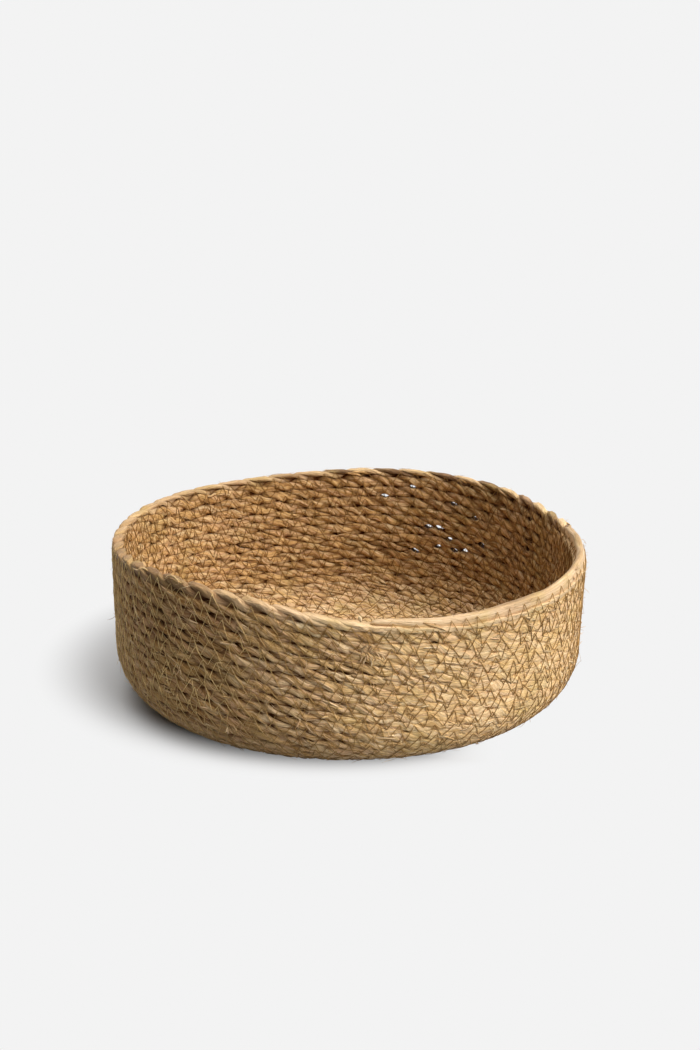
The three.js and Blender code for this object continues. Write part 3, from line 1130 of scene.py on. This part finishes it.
class BASKET_OT_tail(bpy.types.Operator):
    """Lays the rope's end, one smooth strand, on top of the last turn"""

    bl_idname = "basket.tail"
    bl_label = "Rim tail"

    def execute(self, context):
        rope = laid_rope()
        shape = rope.shape
        tucked_end = shape.tail_turn + TAIL_TUCK
        back = np.arange(0, tucked_end, TAIL_STEP / (shape.rim_diameter / 2))
        full = rope.tail_full(back)
        tucked = np.sqrt(np.clip((tucked_end - back) / TAIL_TUCK, TAIL_TUCK_LEAST, 1))
        rounded = np.sqrt(np.clip(back / TAIL_ROUNDED, TAIL_ROUNDED_LEAST, 1))
        run = rope.run_at(back)
        low = np.interp(run, rope.run, rope.sewn_line)
        sunk = TAIL_SUNK * smooth_step(full / TAIL_SINKS_WITHIN)
        tall = rope.tail_tall(back) + sunk
        tall = tall * (1 + TAIL_TALL_WAVER * drift(run, "tail's height")) * rounded * tucked
        deep = rope.tail_deep(back) * (1 + TAIL_DEEP_WAVER * drift(run, "tail's depth"))
        deep = deep * rounded * tucked
        round_strand = round_section(TAIL_SIDES)
        own = round_strand[None, :] + TAIL_TURN_WANDER * drift(run, "tail's turning")[:, None]
        crease = 1 + sum(size * np.cos(count * own + at) for size, count, at in TAIL_CREASES)
        middle = (low - sunk + tall / 2)[:, None]
        flat_cos, flat_sin = squared_round(round_strand, TAIL_FULLNESS_POWER)
        side = tall[:, None] / 2 * flat_sin * crease
        outward = deep[:, None] / 2 * flat_cos * crease + (TAIL_STANDS_OUT * full)[:, None]
        points = rope.spiral.place(middle + side, outward, back[:, None])
        faces = tube_faces(len(back), TAIL_SIDES)
        piece = add_piece(
            "rim_tail_strand", points, faces, rim_seagrass(), ("rim_tail",)
        )
        strand = strand_place(run[:, None], np.hypot(side, outward), own)
        tone = TAIL_TONE + TAIL_TONE_DRIFT * drift(run, "tail's tone")[:, None]
        tone = tone + TAIL_TONE_ROUND * np.cos(2 * own)
        mark_unsewn(piece, tone, strand, 0)
        return {"FINISHED"}


# Stitches. The thread's heights are shares of its thickness, and the side where it gets a painted sheen is
# in degrees.

THREAD_SIDES = 4
SPAN_SHARES = np.array((0.05, 0.2, 0.35, 0.5, 0.65, 0.8, 0.95))
BOW_SEED, SLACK_SEED = 7, 17
OUTER_HEIGHT, INNER_HEIGHT, HOLE_SUNK = 0.5, 0.35, 0.9
SLACK = 0.25 * MM
STEEP = 0.9
BOBBIN_THICKER = 1.1
SHEEN_AT, SHEEN_WITHIN, SHEEN_BLEND = -152, 20, 35


def taut(heights, shares):
    """The heights of a thread drawn tight over bumps, at some shares of its span."""
    drawn = heights.copy()
    for i in range(len(shares)):
        for j in range(i + 2, len(shares)):
            for k in range(i + 1, j):
                mix = (shares[k] - shares[i]) / (shares[j] - shares[i])
                drawn[:, k] = np.maximum(drawn[:, k], heights[:, i] * (1 - mix) + heights[:, j] * mix)
    return drawn


def thread_path(rope, sewing, inside):
    """Middle line of the zigzag thread on one face of the wall, hole by hole."""
    shares, arch = SPAN_SHARES, np.sin(math.pi * SPAN_SHARES)
    starts = [part[:-1, None] for part in (rope.hole_run, rope.hole_back, rope.hole_distance)]
    run, back, distance = starts
    spans = (len(run), 1)
    bow = sewing.bow * np.random.RandomState(BOW_SEED + inside).uniform(-1, 1, spans)
    slack = np.random.RandomState(SLACK_SEED + inside).uniform(0, 1, spans) ** 2
    runs = run + (rope.hole_run[1:, None] - run) * shares + bow * arch
    backs = np.interp(runs, rope.run, rope.back)
    distances = distance + (rope.hole_distance[1:, None] - distance) * shares
    height = rope.surface(distances, backs, inside)
    height = height + sewing.thread * (INNER_HEIGHT if inside else OUTER_HEIGHT)
    height = taut(height, shares) + SLACK * slack * arch
    hole = rope.surface(distance, back, inside) - sewing.thread * HOLE_SUNK
    backs, distances, height = (
        np.concatenate(parts, axis=1).ravel()
        for parts in ((back, backs), (distance, distances), (hole, height))
    )
    path = rope.spiral.place(distances, -height if inside else height, backs)
    path[:, 2] = np.maximum(path[:, 2], sewing.thread / 2)
    return path, backs


def tube_round(path, radius, sides):
    """Rings of a tube round a path, square to it."""
    along = np.gradient(path, axis=0)
    along /= np.linalg.norm(along, axis=1)[:, None]
    up = np.zeros_like(along)
    up[:, 2] = 1
    up[np.abs(along[:, 2]) > STEEP] = (1, 0, 0)
    across = np.cross(along, up)
    across /= np.linalg.norm(across, axis=1)[:, None]
    over = np.cross(across, along)
    turned = round_section(sides)[:, None]
    return path[:, None] + radius * (across[:, None] * np.cos(turned) + over[:, None] * np.sin(turned))


def sew(context, side_name, inside):
    """Adds the thread of one face in three lengths: over the floor, the heel and the wall."""
    rope = laid_rope()
    sewing = context.scene.basket_sewing
    path, backs = thread_path(rope, sewing, inside)
    (floor_from, floor_to), (heel_from, heel_to), (wall_from, _), *_ = stretch_bounds(rope).values()
    lengths = (("floor", floor_from, floor_to), ("heel", heel_from, heel_to), ("wall", wall_from, 0.0))
    for name, back_from, back_to in lengths:
        chosen = stretch_of(backs, back_from, back_to)
        rings = tube_round(path[chosen], sewing.thread / 2 * (BOBBIN_THICKER if inside else 1), THREAD_SIDES)
        faces = tube_faces(len(rings), THREAD_SIDES)
        piece = add_piece(f"{side_name}_{name}", rings, faces, sewing_thread())
        turn = np.degrees(rope.shape.tail_tip_at + backs[chosen])
        # Painted sheen on the outside thread, strongest at the side given by its angle from +X
        around = np.abs(degrees_from(turn, SHEEN_AT))
        faded = (1 - smooth_step((around - SHEEN_WITHIN) / SHEEN_BLEND)) * (not inside)
        inner = np.full(len(chosen) * THREAD_SIDES, float(inside))
        add_attributes(piece, faded=np.repeat(faded, THREAD_SIDES), inside=inner)


class BASKET_OT_needle_thread(bpy.types.Operator):
    """Sews the zigzag of the needle thread on the outside"""

    bl_idname = "basket.needle_thread"
    bl_label = "Needle thread"

    def execute(self, context):
        sew(context, "needle_thread", False)
        return {"FINISHED"}


class BASKET_OT_bobbin_thread(bpy.types.Operator):
    """Sews the zigzag of the bobbin thread on the inside"""

    bl_idname = "basket.bobbin_thread"
    bl_label = "Bobbin thread"

    def execute(self, context):
        sew(context, "bobbin_thread", True)
        return {"FINISHED"}


# Loose leaf ends and fibres. Their sizes are in mm and their angles in radians: ranges, or spreads.

LEAF_END = {
    "length": (5, 15), "wide": (1.0, 2.3), "thick": (0.25, 0.4), "heading": 0.16, "bend": 0.15,
    "lift": 0.35, "sunk": -0.5, "tone_power": 0.8, "reach": -1.3, "sides": 4, "rings": 7,
}
FIBRE = {
    "length": (4, 15), "wide": (0.2, 0.34), "thick": (0.18, 0.28), "heading": 0.7, "bend": 0.8,
    "lift": 0.8, "sunk": -0.2, "tone_power": 1.2, "reach": 0.4, "sides": 3, "rings": 6,
}
PLY_SLOPE = math.radians(17)
LOOSE_ASIDE = 2.6
LOOSE_LIFT_SHAPE = 1.2
LOOSE_TONES = (0.2, 1.0)
LOOSE_FROM, LOOSE_TO_BACK = 20 * MM, 0.02
BARE_FLOOR = 6 * FULL_TURN
LIFT_POWER, SINK_POWER = 1.5, 2
TAPER_FROM, TAPER_OVER, TAPER_LEAST = 0.06, 0.9, 0.15

# Frayed places outside: angle from +X, height in mm, and how many strands stand off there

FRAYED = ((-86, 77, 34), (-64, 65, 22), (-101, 38, 8), (-132, 50, 8), (-50, 84, 8), (-118, 28, 8))
FRAY_SEED = 73
FRAY = {
    "run": (0, 2.6), "aside": (-2.0, 1.3), "length": (2.5, 8), "heading": (0, 0.8), "bend": (0, 0.9),
    "lift": (0.4, 2.4), "wide": (0.3, 1.1), "tone": (0.5, 1),
}

# Strands raised from the rim: angle from +X, start below its top, heading, bend, length, width and tone

RAISED = (
    (-129, 1.2, 48, -95, 14, 1.7, 0.55),
    (-87, -2.2, 80, -10, 5.5, 2.1, 1.0),
    (-141, 1.5, 30, -60, 11, 1.4, 0.2),
)
RAISED_THICK = 0.7
RAISED_SUNK, RAISED_REACH = -0.5 * MM, 6 * MM
RAISED_SIDES, RAISED_RINGS = 6, 9


def loose_paths(rope, loose, shares, inside):
    """Middle lines of loose strands that start in the wall's face and lift towards their ends."""
    step = loose["length"][:, None] / (len(shares) - 1)
    heading = loose["heading"][:, None] + loose["bend"][:, None] * shares
    run = loose["run"][:, None] + np.cumsum(np.cos(heading) * step, axis=1)
    row = np.interp(loose["run"], rope.run, rope.middle) + loose["aside"]
    distance = row[:, None] + np.cumsum(np.sin(heading) * step, axis=1)
    back = np.interp(run, rope.run, rope.back)
    top = np.interp(back, rope.back[::-1], rope.high[::-1]) + loose["reach"]
    distance = np.minimum(distance, top)
    height = rope.surface(distance, back, inside)
    height = np.maximum(height, height.mean(axis=1)[:, None])
    height = height + loose["lift"][:, None] * shares**LIFT_POWER
    height = height + loose["sunk"] * (1 - shares) ** SINK_POWER
    sign = -1 if inside else 1
    path = rope.spiral.place(distance, sign * height, back)
    out = rope.spiral.place(distance, sign * (height + MM), back) - path
    path[..., 2] = np.maximum(path[..., 2], MM / 2)
    return path, out / np.linalg.norm(out, axis=-1)[..., None]


def loose_rings(path, out, wide, thick, sides):
    """Rings of flat tubes along many paths at once, wide along the wall and thin through it."""
    along = np.gradient(path, axis=1)
    along /= np.linalg.norm(along, axis=-1)[..., None]
    across = np.cross(out, along)
    across /= np.linalg.norm(across, axis=-1)[..., None]
    over = np.cross(along, across)
    turned = round_section(sides)[:, None]
    return (
        path[:, :, None]
        + wide[:, :, None, None] / 2 * np.cos(turned) * across[:, :, None]
        + thick[:, :, None, None] / 2 * np.sin(turned) * over[:, :, None]
    )


def add_loose(name, rope, loose, sides, rings, inside):
    """Adds many loose strands as one piece, each tapered towards both of its ends."""
    shares = np.linspace(0, 1, rings)
    path, out = loose_paths(rope, loose, shares, inside)
    taper = np.sqrt(np.sin(math.pi * (TAPER_FROM + TAPER_OVER * shares)))
    taper = np.clip(taper, TAPER_LEAST, 1)
    wide = loose["wide"][:, None] * taper
    points = loose_rings(path, out, wide, loose["thick"][:, None] * taper, sides)
    points[..., 2] = np.maximum(points[..., 2], 0)
    faces = []
    for number in range(len(path)):
        faces.extend(tube_faces(rings, sides, number * rings * sides))
    piece = add_piece(name, points, faces, seagrass())
    run, long, tone = (np.repeat(loose[key], rings * sides) for key in ("run", "length", "tone"))
    along = run + np.tile(np.repeat(shares, sides), len(path)) * long
    turned = np.tile(round_section(sides), len(path) * rings)
    across = np.repeat(wide.ravel(), sides) / 2
    strand = np.stack((along + tone, across * np.cos(turned) + tone, across * np.sin(turned)), axis=-1)
    mark_unsewn(piece, tone, strand, inside)


def ply_slope(inside):
    """The angle at which the plies climb across a row, along the rope's run."""
    return -PLY_SLOPE if inside else PLY_SLOPE


def scatter(rope, random, count, inside, kind):
    """Random places and sizes for loose strands of one kind."""
    bounds = stretch_bounds(rope)
    run_from, run_to = rope.run_at(np.array([bounds["heel_coil"][0], LOOSE_TO_BACK]))
    if inside:
        run_from = rope.run_at(bounds["base_coil"][0] - BARE_FLOOR)
    back_or_front = random.randint(0, 2, count) * math.pi
    return {
        "run": random.uniform(run_from + LOOSE_FROM, run_to, count),
        "aside": random.uniform(-LOOSE_ASIDE, LOOSE_ASIDE, count) * MM,
        "length": random.uniform(*kind["length"], count) * MM,
        "heading": ply_slope(inside) + back_or_front + random.normal(0, kind["heading"], count),
        "bend": random.normal(0, kind["bend"], count),
        "lift": random.gamma(LOOSE_LIFT_SHAPE, kind["lift"], count) * MM,
        "sunk": kind["sunk"] * MM,
        "wide": random.uniform(*kind["wide"], count) * MM,
        "thick": random.uniform(*kind["thick"], count) * MM,
        "tone": random.uniform(*LOOSE_TONES, count) ** kind["tone_power"],
        "reach": kind["reach"] * MM,
    }


def scatter_faces(name, kind, seed, outside, inside):
    """Adds so many loose strands outside and so many inside, one piece for each face."""
    rope = laid_rope()
    random = np.random.RandomState(seed)
    for face, count, inner in (("outside", outside, False), ("inside", inside, True)):
        loose = scatter(rope, random, count, inner, kind)
        add_loose(f"{name}_{face}", rope, loose, kind["sides"], kind["rings"], inner)


class BASKET_OT_leaf_ends(bpy.types.Operator):
    """Scatters the ends and slivers of leaves that stand off the rope"""

    bl_idname = "basket.leaf_ends"
    bl_label = "Leaf ends"

    def execute(self, context):
        scatter_faces("leaf_ends", LEAF_END, seed=71, outside=520, inside=420)
        return {"FINISHED"}


class BASKET_OT_raised_strands(bpy.types.Operator):
    """Raises the strands that came loose from the rim"""

    bl_idname = "basket.raised_strands"
    bl_label = "Raised strands"

    def execute(self, context):
        rope = laid_rope()
        azimuth, start, heading, bend, long, wide, tone = np.array(RAISED).T
        run = rope.run_at((np.radians(azimuth) - rope.shape.tail_tip_at) % FULL_TURN)
        loose = {
            "run": run,
            "aside": np.interp(run, rope.run, rope.half) - start * MM,
            "length": long * MM,
            "heading": np.radians(heading),
            "bend": np.radians(bend),
            "lift": 0 * run,
            "sunk": RAISED_SUNK,
            "wide": wide * MM,
            "thick": RAISED_THICK * wide * MM,
            "tone": tone,
            "reach": RAISED_REACH,
        }
        add_loose("raised_strands", rope, loose, RAISED_SIDES, RAISED_RINGS, False)
        return {"FINISHED"}


class BASKET_OT_frays(bpy.types.Operator):
    """Frays the rope where a leaf ends on the outside"""

    bl_idname = "basket.frays"
    bl_label = "Frayed places"

    def execute(self, context):
        rope = laid_rope()
        random = np.random.RandomState(FRAY_SEED)
        places = [rope.ring_near(azimuth, height) for azimuth, height, _ in FRAYED]
        centres = np.repeat(rope.run[places], [strands for _, _, strands in FRAYED])
        count = len(centres)
        loose = scatter(rope, random, count, False, LEAF_END)
        loose["run"] = centres + random.normal(*FRAY["run"], count) * MM
        loose["aside"] = random.normal(*FRAY["aside"], count) * MM
        loose["length"] = random.uniform(*FRAY["length"], count) * MM
        loose["heading"] = ply_slope(False) + math.pi + random.normal(*FRAY["heading"], count)
        loose["bend"] = random.normal(*FRAY["bend"], count)
        loose["lift"] = random.uniform(*FRAY["lift"], count) * MM
        loose["wide"] = random.uniform(*FRAY["wide"], count) * MM
        loose["tone"] = random.uniform(*FRAY["tone"], count)
        add_loose("frayed_places", rope, loose, LEAF_END["sides"], LEAF_END["rings"], False)
        return {"FINISHED"}


class BASKET_OT_fibres(bpy.types.Operator):
    """Scatters the fine loose fibres of the leaves"""

    bl_idname = "basket.fibres"
    bl_label = "Loose fibres"

    def execute(self, context):
        scatter_faces("fibres", FIBRE, seed=72, outside=2000, inside=500)
        return {"FINISHED"}


# Camera, floor and light


class BASKET_OT_camera(bpy.types.Operator):
    """Sets the camera where the photograph was taken from"""

    bl_idname = "basket.camera"
    bl_label = "Camera"

    # The picture that the place of the basket was read in, in pixels
    PICTURE_WIDE = 700
    PICTURE_TALL = 1050
    MIDDLE_X = 347.37
    MIDDLE_Y = 610.19
    SENSOR = 36
    CLIP_END = 1000

    def execute(self, context):
        studio = context.scene.basket_studio
        shape = context.scene.basket_shape
        pixels = studio.lens * self.PICTURE_TALL / self.SENSOR
        middle_below = math.atan((self.MIDDLE_Y - self.PICTURE_TALL / 2) / pixels)
        pitch = studio.camera_elevation - middle_below
        reach = studio.camera_distance
        aside = (self.PICTURE_WIDE / 2 - self.MIDDLE_X) / pixels * reach * math.cos(middle_below)
        bpy.ops.object.camera_add(
            location=(
                shape.middle_x + aside,
                shape.middle_y - reach * math.cos(studio.camera_elevation),
                shape.height / 2 + reach * math.sin(studio.camera_elevation),
            ),
            rotation=(math.pi / 2 - pitch, 0, 0),
        )
        camera = context.object
        camera.name = "photograph_camera"
        camera.data.lens = studio.lens
        camera.data.sensor_width = self.SENSOR
        camera.data.clip_end = self.CLIP_END
        context.scene.camera = camera
        return {"FINISHED"}


# The floor, in metres from its middle: how its grey falls off for the light that it throws back, and
# where its shadow ends in the plain backdrop

BOUNCE_FROM, BOUNCE_TO = 0.25, 0.45
BOUNCE_NEAR, BOUNCE_FAR = 0.34, 0.12
SHADOWED_GREY = 0.60
SHADOW_MIDDLE = (-0.010, 0.050, 0)
SHADOW_FROM, SHADOW_TO = 0.147, 0.199
LIT_SIDE_TO = 0.09


def floor_material(background):
    """A pale floor that shows as bright as the backdrop and keeps the shadow close to the basket."""
    shader = Shader(bpy.data.materials.new("pale_floor"))
    where = shader.place()
    reach = shader.node("ShaderNodeVectorMath", {0: where}, operation="LENGTH").outputs["Value"]
    far = shader.node(
        "ShaderNodeVectorMath", {0: where, 1: SHADOW_MIDDLE}, operation="DISTANCE"
    ).outputs["Value"]
    near = shader.level(reach, BOUNCE_FROM, BOUNCE_TO, BOUNCE_FAR, BOUNCE_NEAR)
    bounced = shader.node("ShaderNodeBsdfDiffuse", {"Color": near})
    shadowed = shader.node("ShaderNodeBsdfDiffuse", {"Color": (SHADOWED_GREY,) * 3})
    plain = shader.node("ShaderNodeEmission", {"Color": (background,) * 3})
    away = shader.level(far, SHADOW_FROM, SHADOW_TO, smooth=True)
    lit_side = shader.level(shader.parts(where)[0], 0.0, LIT_SIDE_TO, smooth=True)
    seen = shader.mix(shader.maths("MAXIMUM", away, lit_side), shadowed, plain)
    return shader.finish(shader.mix(shader.seen_rays(), bounced, seen))


def light_sky(studio):
    """Soft light that grows towards the zenith, behind a plain pale backdrop."""
    world = bpy.data.worlds.new("soft_sky")
    bpy.context.scene.world = world
    shader = Shader(world)
    direction = shader.node("ShaderNodeTexCoord").outputs["Generated"]
    above = shader.level(shader.parts(direction)["Z"], 0.0, 1.0)
    gathered = shader.maths("POWER", above, studio.sky_power)
    strength = shader.level(gathered, 0.0, 1.0, studio.sky_low + studio.sky_high, studio.sky_low)
    lit = shader.node("ShaderNodeBackground", {"Strength": strength})
    seen = shader.node("ShaderNodeBackground", {"Color": (studio.background,) * 3})
    shader.finish(shader.mix(shader.seen_rays(), lit, seen), "ShaderNodeOutputWorld")


class BASKET_OT_stage(bpy.types.Operator):
    """Sets the floor and the soft studio light"""

    bl_idname = "basket.stage"
    bl_label = "Stage"

    FLOOR_SIZE = 400
    KEY_AZIMUTH = -30
    KEY_ELEVATION = 33
    KEY_SPREAD = 40

    def execute(self, context):
        studio = context.scene.basket_studio
        bpy.ops.mesh.primitive_plane_add(size=self.FLOOR_SIZE, location=(0, 0, 0))
        floor = context.object
        floor.name = "floor"
        floor.data.materials.append(floor_material(studio.background))
        turned = (math.radians(90 - self.KEY_ELEVATION), 0, math.radians(90 + self.KEY_AZIMUTH))
        bpy.ops.object.light_add(type="SUN", rotation=turned)
        key = context.object
        key.name = "key_light"
        key.data.energy = studio.key_strength
        key.data.angle = math.radians(self.KEY_SPREAD)
        light_sky(studio)
        context.scene.view_settings.view_transform = "Standard"
        return {"FINISHED"}


class BASKET_PT_panel(bpy.types.Panel):
    """Lists the basket's pieces"""

    bl_label = "Round basket"
    bl_idname = "BASKET_PT_panel"
    bl_space_type = "VIEW_3D"
    bl_region_type = "UI"
    bl_category = "Basket"

    def draw(self, context):
        for operator in OPERATORS:
            self.layout.operator(operator.bl_idname)


GROUPS = {
    "basket_shape": BasketShape,
    "basket_rope": RopeLay,
    "basket_sewing": Sewing,
    "basket_finish": Finish,
    "basket_studio": Studio,
}
OPERATORS = (
    BASKET_OT_camera,
    BASKET_OT_floor,
    BASKET_OT_heel,
    BASKET_OT_wall,
    BASKET_OT_rim,
    BASKET_OT_tail,
    BASKET_OT_needle_thread,
    BASKET_OT_bobbin_thread,
    BASKET_OT_leaf_ends,
    BASKET_OT_raised_strands,
    BASKET_OT_frays,
    BASKET_OT_fibres,
    BASKET_OT_stage,
)


def register():
    for name, group in GROUPS.items():
        bpy.utils.register_class(group)
        setattr(bpy.types.Scene, name, bpy.props.PointerProperty(type=group))
    for made in (*OPERATORS, BASKET_PT_panel):
        bpy.utils.register_class(made)


def unregister():
    for made in (BASKET_PT_panel, *reversed(OPERATORS)):
        bpy.utils.unregister_class(made)
    for name, group in reversed(GROUPS.items()):
        delattr(bpy.types.Scene, name)
        bpy.utils.unregister_class(group)


def main():
    register()
    for operator in OPERATORS:
        group, name = operator.bl_idname.split(".")
        getattr(getattr(bpy.ops, group), name)()


if __name__ == "__main__":
    main()
